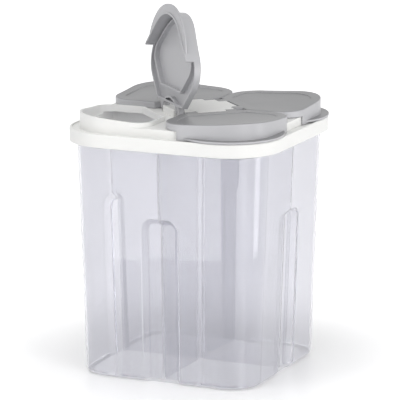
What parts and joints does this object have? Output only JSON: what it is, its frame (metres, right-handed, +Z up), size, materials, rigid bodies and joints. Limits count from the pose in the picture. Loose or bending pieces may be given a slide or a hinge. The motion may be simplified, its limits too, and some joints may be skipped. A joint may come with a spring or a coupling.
{
  "type": "dry food dispenser",
  "caption": "Square tapered clear canister divided by a cross into pouring compartments, with a white collar and grey flip caps hinged at its middle.",
  "frame": {"origin": "middle of the base, on the surface that the tub stands on", "axes": "+Z up through the collar, -Y towards the front, +X to the right"},
  "size_m": [0.1508, 0.1508, 0.2492],
  "materials": {
    "clear_body": "clear polypropylene, lightly frosted, glossy outside",
    "white_collar": "satin white moulding",
    "grey_cap": "satin grey moulding"
  },
  "bodies": {
    "tub": {"tub": "clear_body"},
    "collar": {"collar": "white_collar"},
    "cap_back_right": {"cap_back_right": "grey_cap"},
    "cap_back_left": {"cap_back_left": "grey_cap"},
    "cap_front_left": {"cap_front_left": "grey_cap"},
    "cap_front_right": {"cap_front_right": "grey_cap"}
  },
  "joints": [
    {"name": "collar_lift", "type": "slide", "parent": "tub", "child": "collar", "axis": [0, 0, 1], "range_m": [0, 0.03]},
    {"name": "back_right_hinge", "type": "hinge", "parent": "collar", "child": "cap_back_right", "pos_m": [0.014, 0.014, 0.177], "axis": [0.7071, -0.7071, 0], "range_deg": [0, 95]},
    {"name": "back_left_hinge", "type": "hinge", "parent": "collar", "child": "cap_back_left", "pos_m": [-0.014, 0.014, 0.177], "axis": [0.7071, 0.7071, 0], "range_deg": [0, 28]},
    {"name": "front_left_hinge", "type": "hinge", "parent": "collar", "child": "cap_front_left", "pos_m": [-0.014, -0.014, 0.177], "axis": [-0.7071, 0.7071, 0], "range_deg": [-95, 0]},
    {"name": "front_right_hinge", "type": "hinge", "parent": "collar", "child": "cap_front_right", "pos_m": [0.014, -0.014, 0.177], "axis": [-0.7071, -0.7071, 0], "range_deg": [0, 28]}
  ]
}
